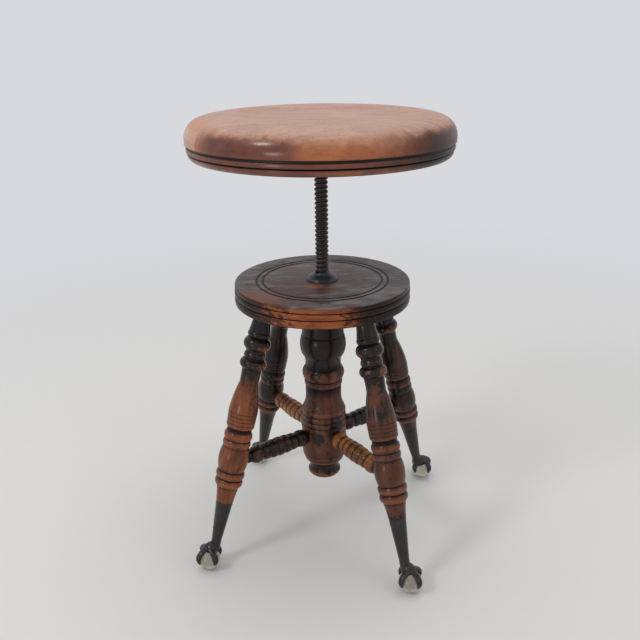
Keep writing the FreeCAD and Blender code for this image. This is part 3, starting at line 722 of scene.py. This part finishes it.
def seat_outline():
    """Hollow, crown, round edge, plain side, band and bead, from the middle of the top outwards."""
    low, high = box_mm("seat")
    radius, under, top = high.x, low.z, high.z
    crown_radius, crown_fall, edge_radius, plain_side = 160.0, 3.0, 25.0, 6.5
    dish_floor, dish_depth = 80.0, 4.0
    groove_depth, groove_width = 3.0, 3.4
    band_inset, band_width, band_bulge = 1.8, 6.0, 0.5
    line_depth, line_half_width = 4.8, 0.8
    bead_inset, bead_foot_inset, bead_bulge = 3.0, 7.5, 1.2

    step = crown_radius - edge_radius
    crown_turn = math.acos(1 - crown_fall / step)
    crest = radius - edge_radius - step * math.sin(crown_turn)
    shoulder = crest + crown_radius * math.sin(crown_turn)
    shoulder_height = top - crown_radius * (1 - math.cos(crown_turn))
    dish_width = crest - dish_floor
    dish_turn = 2 * math.atan(dish_depth / dish_width)
    dish_sag = sagitta(dish_width / 2 / math.sin(dish_turn), dish_turn)
    widest = top - crown_fall - edge_radius
    groove = widest - plain_side
    band_top = groove - groove_width
    band_end = band_top - band_width
    line_height = band_end - line_half_width
    bead_top = line_height - line_half_width
    return [
        (0, top - dish_depth, 0), (dish_floor, top - dish_depth, 0),
        (dish_floor + dish_width / 2, top - dish_depth / 2, -dish_sag), (crest, top, dish_sag),
        (shoulder, shoulder_height, sagitta(crown_radius, crown_turn)),
        (radius, widest, sagitta(edge_radius, math.pi / 2 - crown_turn)),
        (radius, groove, 0), (radius - groove_depth, groove, 0),
        (radius - groove_depth, band_top, 0), (radius - band_inset, band_top, 0),
        (radius - band_inset, band_end, band_bulge), (radius - line_depth, line_height, 0),
        (radius - bead_inset, bead_top, 0), (radius - bead_foot_inset, under, bead_bulge),
        (0, under, 0),
    ]


def disc_outline():
    """The disc: ring grooves on top, grooves round its swelling edge and a bore for the nut."""
    low, high = box_mm("base_disc")
    radius, under, top = high.x, low.z, high.z
    ring_depth, corner, corner_bulge = 1.5, 1.8, 0.37
    groove_depth, groove_half_width, edge_bulge = 2.2, 1.0, 0.7

    points = [(DISC_BORE, top, 0)]
    for ring in DISC_RINGS:
        points += [
            (ring - ring_depth, top, 0), (ring, top - ring_depth, 0), (ring + ring_depth, top, 0),
        ]
    points += [(radius - corner, top, 0), (radius, top - corner, corner_bulge)]
    bulge = 0
    for groove in DISC_EDGE_GROOVES:
        points += [
            (radius, top - groove + groove_half_width, bulge),
            (radius - groove_depth, top - groove, 0),
            (radius, top - groove - groove_half_width, 0),
        ]
        bulge = edge_bulge
    return points + [(radius, under, edge_bulge), (DISC_BORE, under, 0), (DISC_BORE, top, 0)]


def hanging_outline(full_radius, first_depth, cuts, top=0.0, length=0.0, shares=()):
    """Points of a turned piece from its top down. Cuts without a length share what is left of it."""
    spare = length - sum(cut[0] for cut in cuts if cut[0] is not None)
    shares = iter(shares)
    height = top
    points = [(0, top, 0), (full_radius - first_depth, top, 0)]
    for cut_length, depth, bulge in cuts:
        height -= spare * next(shares) if cut_length is None else cut_length
        points.append((full_radius - depth, height, bulge))
    points.append((0, height, 0))
    return points


def towards_leg(index):
    """The turn about Z that brings a piece from the +X side to a leg."""
    return Matrix.Rotation(math.radians(45 + 90 * index), 4, "Z")


def cut_level(bm, height, keep):
    """Cuts a mesh at a height, keeps what is above or below, and returns the edges of the cut."""
    cut = bmesh.ops.bisect_plane(
        bm, geom=bm.verts[:] + bm.edges[:] + bm.faces[:], dist=1e-7, plane_co=(0, 0, height),
        plane_no=(0, 0, 1), clear_inner=keep == "above", clear_outer=keep == "below")
    return [item for item in cut["geom_cut"] if isinstance(item, bmesh.types.BMEdge)]


def leg_mesh(index, sizes):
    """A leg that is turned straight, leaned outwards and cut flat under the disc."""
    length = (DISC_UNDERSIDE - LEG_END_HEIGHT) / math.cos(LEG_SPLAY) + LEG_SPARE
    points = hanging_outline(
        LEG_RADIUS, LEG_TOP_DEPTH, LEG_CUTS, LEG_SPARE, length, LEG_PLAIN_SHARES)
    bm = lathe(points, sizes.facets, sizes.edge_softness)
    place = Matrix.Translation(Vector((LEG_PLACE, 0, DISC_UNDERSIDE)) * MM)
    bm.transform(towards_leg(index) @ place @ Matrix.Rotation(-LEG_SPLAY, 4, "Y"))
    bmesh.ops.holes_fill(bm, edges=cut_level(bm, DISC_UNDERSIDE * MM, "below"), sides=0)
    bmesh.ops.recalc_face_normals(bm, faces=bm.faces[:])
    return bm


def stretcher_outline():
    """Tenon, end bead, five rings on a swell, end bead and plain end, from the column outwards."""
    tenon_depth = STRETCHER_RADIUS - STRETCHER_TENON_RADIUS
    column_tenon, leg_tenon, shoulder_gap, plain_end = 11.0, 12.0, 0.1, 6.5
    bead_length, bead_bulge = 18.0, 3.3
    rings, ring_bulge, valley = 5, 1.3, 3.3
    middle_depth, swell = 1.1, 2.8

    start = COLUMN_RADIUS + shoulder_gap
    inner_end = COLUMN_RADIUS - column_tenon
    leg_axis = LEG_PLACE + (DISC_UNDERSIDE - STRETCHER_HEIGHT) * math.tan(LEG_SPLAY)
    leg_face = leg_axis - LEG_RADIUS / math.cos(LEG_SPLAY)
    pitch = (leg_face - plain_end - start - 2 * bead_length) / rings
    cuts = [(start - inner_end, tenon_depth, 0), (bead_length, valley, bead_bulge)]
    for ring in range(1, rings):
        depth = middle_depth + swell * (2 * ring / rings - 1) ** 2
        cuts.append((pitch, min(depth, valley), ring_bulge))
    cuts += [
        (pitch, valley, ring_bulge), (bead_length, tenon_depth, bead_bulge),
        (plain_end + leg_tenon, tenon_depth, 0),
    ]
    return hanging_outline(STRETCHER_RADIUS, tenon_depth, cuts), inner_end


def stretcher_mesh(index, sizes):
    """A stretcher that lies level from the column to its leg."""
    points, inner_end = stretcher_outline()
    bm = lathe(points, max(48, sizes.facets * 2 // 3), sizes.edge_softness)
    place = Matrix.Translation(Vector((inner_end, 0, STRETCHER_HEIGHT)) * MM)
    bm.transform(towards_leg(index) @ place @ Matrix.Rotation(math.radians(-90), 4, "Y"))
    return bm


def thread_shape(sizes):
    """One turn of the worn round thread: radii and shares of the pitch, from root to root."""
    crest = SCREW_RADIUS * MM
    shoulder = crest - 0.12 * MM
    root = crest - sizes.thread_depth
    flank = root + 0.55 * sizes.thread_depth
    return (
        (root, 0), (root, 0.14), (flank, 0.24), (shoulder, 0.34), (crest, 0.45), (crest, 0.58),
        (shoulder, 0.68), (flank, 0.78), (root, 0.88), (root, 1.0),
    )


def add_turned(bm, points, steps):
    """Adds a plain turned body to a mesh."""
    part = bmesh.new()
    outline(part, points)
    spin_round(part, steps)
    bmesh.ops.recalc_face_normals(part, faces=part.faces[:])
    spare = bpy.data.meshes.new("spare")
    part.to_mesh(spare)
    part.free()
    bm.from_mesh(spare)
    bpy.data.meshes.remove(spare)


def screw_mesh(sizes):
    """The lifting screw: its thread, spun up one pitch a turn, its riveted end and its neck."""
    low, high = box_mm("lift_screw")
    tip, end = low.z, high.z
    steps = 40
    rivet_tip_radius, rivet_radius, rivet_height, rivet_bulge = 4.5, 7.5, 3.2, -0.8
    spigot_radius, spigot_end = 5.2, 309.0
    neck_radius, neck_start = 8.6, 561.0

    pitch = sizes.thread_pitch
    bottom, top = (height * MM for height in SCREW_THREAD_SPAN)
    turns = math.ceil((top - bottom) / pitch) + 2
    shape = thread_shape(sizes)
    bm = bmesh.new()
    vertex = bm.verts.new((shape[0][0], 0, bottom - pitch))
    for radius, share in shape[1:]:
        vertex = line_to(bm, vertex, radius, bottom - pitch + share * pitch)
    bmesh.ops.spin(
        bm, geom=bm.verts[:] + bm.edges[:], cent=(0, 0, 0), axis=(0, 0, 1), angle=math.tau * turns,
        dvec=(0, 0, pitch / steps), steps=steps * turns)
    bmesh.ops.remove_doubles(bm, verts=bm.verts[:], dist=1e-5)
    for height, keep in ((bottom, "above"), (top, "below")):
        bmesh.ops.edgeloop_fill(bm, edges=cut_level(bm, height, keep))
    bmesh.ops.recalc_face_normals(bm, faces=bm.faces[:])

    rivet_top = tip + rivet_height
    riveted_end = [
        (0, tip, 0), (rivet_tip_radius, tip, 0), (rivet_radius, rivet_top, rivet_bulge),
        (spigot_radius, rivet_top, 0), (spigot_radius, spigot_end, 0), (0, spigot_end, 0),
    ]
    neck = [(0, neck_start, 0), (neck_radius, neck_start, 0), (neck_radius, end, 0), (0, end, 0)]
    add_turned(bm, riveted_end, steps)
    add_turned(bm, neck, steps)
    return bm


def collar_outline():
    """The nut: a barrel let into the disc, a flange on it and a domed collar round the screw."""
    disc_top = box_mm("base_disc")[1].z
    bore, barrel, flange, dome, rim = 9.35, 15.0, 22.5, 12.5, 11.7
    chamfer = 0.8
    barrel_end = disc_top - 53
    rim_height = disc_top + 11
    return [
        (bore, barrel_end, 0), (barrel - chamfer, barrel_end, 0), (barrel, barrel_end + chamfer, 0),
        (barrel, disc_top, 0), (flange, disc_top, 0), (flange, disc_top + 1.6, 0),
        (flange - chamfer, disc_top + 2.4, 0), (dome, disc_top + 8.8, -1.2), (rim, rim_height, 0),
        (bore + chamfer, rim_height, 0), (bore, rim_height - chamfer, 0), (bore, barrel_end, 0),
    ]


# Stage

BACKDROP = srgb(216, 217, 221)


def make_floor(colours):
    """A pale floor that melts into the backdrop where the camera sees its far part."""
    bm = bmesh.new()
    bmesh.ops.create_circle(bm, cap_ends=True, radius=FLOOR_RADIUS, segments=96)
    mesh = bpy.data.meshes.new("floor")
    bm.to_mesh(mesh)
    bm.free()
    floor = bpy.data.objects.new("floor", mesh)
    bpy.context.scene.collection.objects.link(floor)
    finish = Finish("pale floor")
    place = finish.object_place()
    shade = finish.noise(place, 60, 3, 0.6)
    finish.colour(finish.mix(finish.times(shade, 0.10), colours.floor, srgb(200, 199, 197)))
    finish.constants({"Roughness": 0.9, "IOR": 1.3})
    far = finish.between(finish.distance(place, (0, 0, 0)), *FLOOR_FADE)
    seen = finish.node("LightPath").outputs["Is Camera Ray"]
    glow = finish.node("Emission", {"Color": BACKDROP, "Strength": 1.0}).outputs[0]
    shader = finish.shader.outputs[0]
    blend = finish.node("MixShader", {0: finish.times(far, seen), 1: shader, 2: glow})
    output = [node for node in finish.tree.nodes if node.type == "OUTPUT_MATERIAL"][0]
    finish.tree.links.new(blend.outputs[0], output.inputs["Surface"])
    mesh.materials.append(finish.material)


def make_sky():
    """Soft white light on the wood, and the plain backdrop for the camera, gloss and glass."""
    world = bpy.data.worlds.new("studio")
    bpy.context.scene.world = world
    world.use_nodes = True
    sky = Nodes(world.node_tree)
    sky.tree.nodes.clear()
    rays = sky.node("LightPath").outputs
    mirrored = {0: rays["Is Glossy Ray"], 1: rays["Is Transmission Ray"]}
    mirrored = sky.node("Math", mirrored, operation="MAXIMUM").outputs[0]
    seen = {0: rays["Is Camera Ray"], 1: mirrored}
    seen = sky.node("Math", seen, operation="MAXIMUM").outputs[0]
    soft = sky.node("Background", {"Color": (1, 1, 1), "Strength": SKY_STRENGTH}).outputs[0]
    shown = sky.node("Background", {"Color": BACKDROP, "Strength": 1.0}).outputs[0]
    blend = sky.node("MixShader", {0: seen, 1: soft, 2: shown}).outputs[0]
    sky.node("OutputWorld", {"Surface": blend})


def make_lamp(name, place, size, power):
    """A round lamp that points at the middle of the stool."""
    lamp = bpy.data.lights.new(name, "AREA")
    lamp.shape = "DISK"
    lamp.size = size
    lamp.energy = power
    obj = bpy.data.objects.new(name, lamp)
    obj.location = place
    aim = Vector(LAMP_AIM) - Vector(place)
    obj.rotation_euler = aim.to_track_quat("-Z", "Y").to_euler()
    bpy.context.scene.collection.objects.link(obj)


def make_camera():
    """The photograph's viewpoint: in front, a little to the right, looking down."""
    camera = bpy.data.cameras.new("camera")
    camera.sensor_width = SENSOR_WIDTH
    camera.lens = FOCAL_PIXELS / IMAGE_WIDTH * SENSOR_WIDTH
    camera.clip_start = 0.01
    obj = bpy.data.objects.new("camera", camera)
    stand = Matrix.Rotation(CAMERA_AZIMUTH, 4, "Z") @ Matrix.Translation(CAMERA_PLACE)
    tilt = Matrix.Rotation(math.pi / 2 - CAMERA_PITCH, 4, "X")
    roll = Matrix.Rotation(CAMERA_ROLL, 4, "Z")
    obj.matrix_world = stand @ tilt @ roll
    bpy.context.scene.collection.objects.link(obj)
    bpy.context.scene.camera = obj


# Looks of the shellacked pieces: the wood, the darker wood in it, and stops that give how far
# black shellac covers the piece, from its lower or outer end (0) to its other end (1).

COLUMN_LOOK = (
    srgb(106, 62, 44), srgb(70, 40, 30),
    ((0.0, 0.45), (0.12, 0.40), (0.2, 0.28), (0.32, 0.42), (0.5, 0.36), (0.6, 0.52), (0.70, 0.9),
     (0.76, 1.2), (1.0, 1.3)))
LEG_LOOKS = {
    "front_left": (
        srgb(142, 80, 44), srgb(98, 54, 34),
        ((0.0, 0.2), (0.36, 0.2), (0.45, 0.42), (0.62, 0.42), (0.72, 0.72), (0.80, 0.55), (0.88, 0.8),
         (1.0, 1.2))),
    "front_right": (
        srgb(100, 58, 40), srgb(78, 44, 32),
        ((0.0, 0.5), (0.08, 0.3), (0.4, 0.35), (0.5, 0.4), (0.62, 0.5), (0.72, 0.8), (0.8, 0.6),
         (0.9, 1.0), (1.0, 1.2))),
    "back_left": (
        srgb(84, 50, 38), srgb(62, 40, 34), ((0.0, 0.45), (0.5, 0.55), (1.0, 0.9))),
    "back_right": (
        srgb(86, 52, 38), srgb(66, 40, 32), ((0.0, 0.5), (0.3, 0.5), (0.6, 0.5), (1.0, 0.9))),
}
GOLDEN_STRETCHERS = ("front_right", "back_left")
GOLDEN_STOPS = ((0.0, 0.3), (0.3, 0.12), (0.7, 0.12), (1.0, 0.45))
DARK_LOOK = (srgb(84, 52, 44), srgb(58, 38, 34), ((0.0, 0.5), (1.0, 0.6)))


# Operators

def settings_of(context):
    """The sizes and colours that every step reads."""
    return context.scene.stool_sizes, context.scene.stool_colours


class STOOL_OT_stage(bpy.types.Operator):
    """Floor, lamps, sky and the camera."""
    bl_idname = "stool.stage"
    bl_label = "Stage and camera"
    bl_options = {"REGISTER", "UNDO"}

    def execute(self, context):
        colours = context.scene.stool_colours
        context.scene.view_settings.view_transform = "Standard"
        make_floor(colours)
        make_sky()
        for name, place, size, power in LAMPS:
            make_lamp(name, place, size, power)
        make_camera()
        return {"FINISHED"}


class STOOL_OT_seat(bpy.types.Operator):
    """The turned seat board."""
    bl_idname = "stool.seat"
    bl_label = "Seat"
    bl_options = {"REGISTER", "UNDO"}

    def execute(self, context):
        sizes, colours = settings_of(context)
        bm = lathe(seat_outline(), sizes.facets * 2, sizes.edge_softness)
        piece(bm, "seat_board", "seat", seat_finish(colours), ("seat",))
        return {"FINISHED"}


class STOOL_OT_spider(bpy.types.Operator):
    """Finish of the iron spider and its wood screws under the seat."""
    bl_idname = "stool.spider"
    bl_label = "Spider and its screws"
    bl_options = {"REGISTER", "UNDO"}

    def execute(self, context):
        colours = context.scene.stool_colours
        dress_node("seat_spider", iron_finish("spider iron", colours.iron, 0.42, 0.6))
        bright = iron_finish("bright screws", srgb(150, 146, 140), 0.32, 0.4, 0.8)
        dress_node("spider_screws", bright)
        return {"FINISHED"}


class STOOL_OT_screw(bpy.types.Operator):
    """The lifting screw with its thread, and the finish of the stop washer."""
    bl_idname = "stool.screw"
    bl_label = "Lifting screw"
    bl_options = {"REGISTER", "UNDO"}

    def execute(self, context):
        sizes, colours = settings_of(context)
        material = iron_finish("oiled screw iron", colours.screw_iron, 0.34, 0.5, 0.6)
        piece(screw_mesh(sizes), "threaded_screw", "seat", material, ("lift_screw",),
              crease_angle=60)
        dress_node("stop_washer", material)
        return {"FINISHED"}


class STOOL_OT_collar(bpy.types.Operator):
    """The flanged nut in the disc."""
    bl_idname = "stool.collar"
    bl_label = "Collar nut"
    bl_options = {"REGISTER", "UNDO"}

    def execute(self, context):
        sizes = context.scene.stool_sizes
        bm = lathe(collar_outline(), sizes.facets, sizes.edge_softness)
        material = iron_finish("collar iron", srgb(44, 47, 54), 0.30, 0.25)
        piece(bm, "collar_nut", "base", material, ("lift_nut",))
        return {"FINISHED"}


class STOOL_OT_disc(bpy.types.Operator):
    """The disc that joins the legs."""
    bl_idname = "stool.disc"
    bl_label = "Disc"
    bl_options = {"REGISTER", "UNDO"}

    def execute(self, context):
        sizes = context.scene.stool_sizes
        bm = lathe(disc_outline(), sizes.facets * 2, sizes.edge_softness)
        piece(bm, "disc", "base", disc_finish(), ("base_disc",))
        return {"FINISHED"}


class STOOL_OT_column(bpy.types.Operator):
    """The turned centre column."""
    bl_idname = "stool.column"
    bl_label = "Centre column"
    bl_options = {"REGISTER", "UNDO"}

    def execute(self, context):
        sizes, colours = settings_of(context)
        foot = box_mm("center_column")[0].z
        points = hanging_outline(
            COLUMN_RADIUS, COLUMN_TOP_DEPTH, COLUMN_CUTS, DISC_UNDERSIDE, DISC_UNDERSIDE - foot,
            COLUMN_PLAIN_SHARES)
        bm = lathe(points, sizes.facets, sizes.edge_softness)
        material = shellac_finish(
            "column shellac", colours, (foot, DISC_UNDERSIDE), COLUMN_LOOK, seed=3, dullness=0.34)
        piece(bm, "turned_column", "base", material, ("center_column",))
        return {"FINISHED"}


class STOOL_OT_legs(bpy.types.Operator):
    """The four splayed legs."""
    bl_idname = "stool.legs"
    bl_label = "Legs"
    bl_options = {"REGISTER", "UNDO"}

    def execute(self, context):
        sizes, colours = settings_of(context)
        for index, name in enumerate(LEG_NAMES):
            material = shellac_finish(
                "leg shellac " + name.replace("_", " "), colours, LEG_SPAN, LEG_LOOKS[name],
                seed=index + 5, dullness=0.24)
            piece(leg_mesh(index, sizes), "turned_leg_" + name, "base", material,
                  ("leg_" + name,))
        return {"FINISHED"}


class STOOL_OT_stretchers(bpy.types.Operator):
    """The four turned stretchers."""
    bl_idname = "stool.stretchers"
    bl_label = "Stretchers"
    bl_options = {"REGISTER", "UNDO"}

    def execute(self, context):
        sizes, colours = settings_of(context)
        golden_look = (colours.golden_wood, srgb(112, 66, 36), GOLDEN_STOPS)
        for index, name in enumerate(LEG_NAMES):
            look = golden_look if name in GOLDEN_STRETCHERS else DARK_LOOK
            material = shellac_finish(
                "stretcher shellac " + name.replace("_", " "), colours, STRETCHER_SPAN, look,
                seed=index + 11, dullness=0.22, valley_depth=-0.4)
            piece(stretcher_mesh(index, sizes), "turned_stretcher_" + name, "base",
                  material, ("stretcher_" + name,))
        return {"FINISHED"}


class STOOL_OT_claws(bpy.types.Operator):
    """Finish of the cast claws and their nails."""
    bl_idname = "stool.claws"
    bl_label = "Claws and nails"
    bl_options = {"REGISTER", "UNDO"}

    def execute(self, context):
        colours = context.scene.stool_colours
        material = iron_finish("claw iron", colours.iron, 0.26, 0.35)
        for name in LEG_NAMES:
            dress_node("claw_foot_" + name, material)
        dress_node("claw_nails", iron_finish("dark nails", srgb(70, 62, 56), 0.4, 0.6, 0.5))
        return {"FINISHED"}


class STOOL_OT_balls(bpy.types.Operator):
    """The four glass balls."""
    bl_idname = "stool.balls"
    bl_label = "Glass balls"
    bl_options = {"REGISTER", "UNDO"}

    def execute(self, context):
        colours = context.scene.stool_colours
        material = glass_finish(colours)
        for name in LEG_NAMES:
            low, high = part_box("glass_ball_" + name)
            bm = bmesh.new()
            bmesh.ops.create_icosphere(bm, subdivisions=5, radius=(high.z - low.z) / 2)
            bmesh.ops.translate(bm, verts=bm.verts[:], vec=(low + high) / 2)
            piece(bm, "ball_" + name, "base", material, ("glass_ball_" + name,),
                  crease_angle=180)
        return {"FINISHED"}


class STOOL_PT_panel(bpy.types.Panel):
    """Lists the stool's sizes, colours and steps."""
    bl_label = "Piano stool"
    bl_idname = "STOOL_PT_panel"
    bl_space_type = "VIEW_3D"
    bl_region_type = "UI"
    bl_category = "Stool"

    def draw(self, context):
        layout = self.layout
        for group in settings_of(context):
            for name in group.__annotations__:
                layout.prop(group, name)
        for step in STEPS:
            layout.operator(step.bl_idname)


STEPS = (
    STOOL_OT_stage, STOOL_OT_seat, STOOL_OT_spider, STOOL_OT_screw, STOOL_OT_collar, STOOL_OT_disc,
    STOOL_OT_column, STOOL_OT_legs, STOOL_OT_stretchers, STOOL_OT_claws, STOOL_OT_balls,
)
CLASSES = (StoolSizes, StoolColours) + STEPS + (STOOL_PT_panel,)


def register():
    for cls in CLASSES:
        bpy.utils.register_class(cls)
    bpy.types.Scene.stool_sizes = bpy.props.PointerProperty(type=StoolSizes)
    bpy.types.Scene.stool_colours = bpy.props.PointerProperty(type=StoolColours)


def unregister():
    del bpy.types.Scene.stool_colours
    del bpy.types.Scene.stool_sizes
    for cls in reversed(CLASSES):
        bpy.utils.unregister_class(cls)


def main():
    register()
    bpy.ops.stool.stage()
    bpy.ops.stool.seat()
    bpy.ops.stool.spider()
    bpy.ops.stool.screw()
    bpy.ops.stool.collar()
    bpy.ops.stool.disc()
    bpy.ops.stool.column()
    bpy.ops.stool.legs()
    bpy.ops.stool.stretchers()
    bpy.ops.stool.claws()
    bpy.ops.stool.balls()


if __name__ == "__main__":
    main()
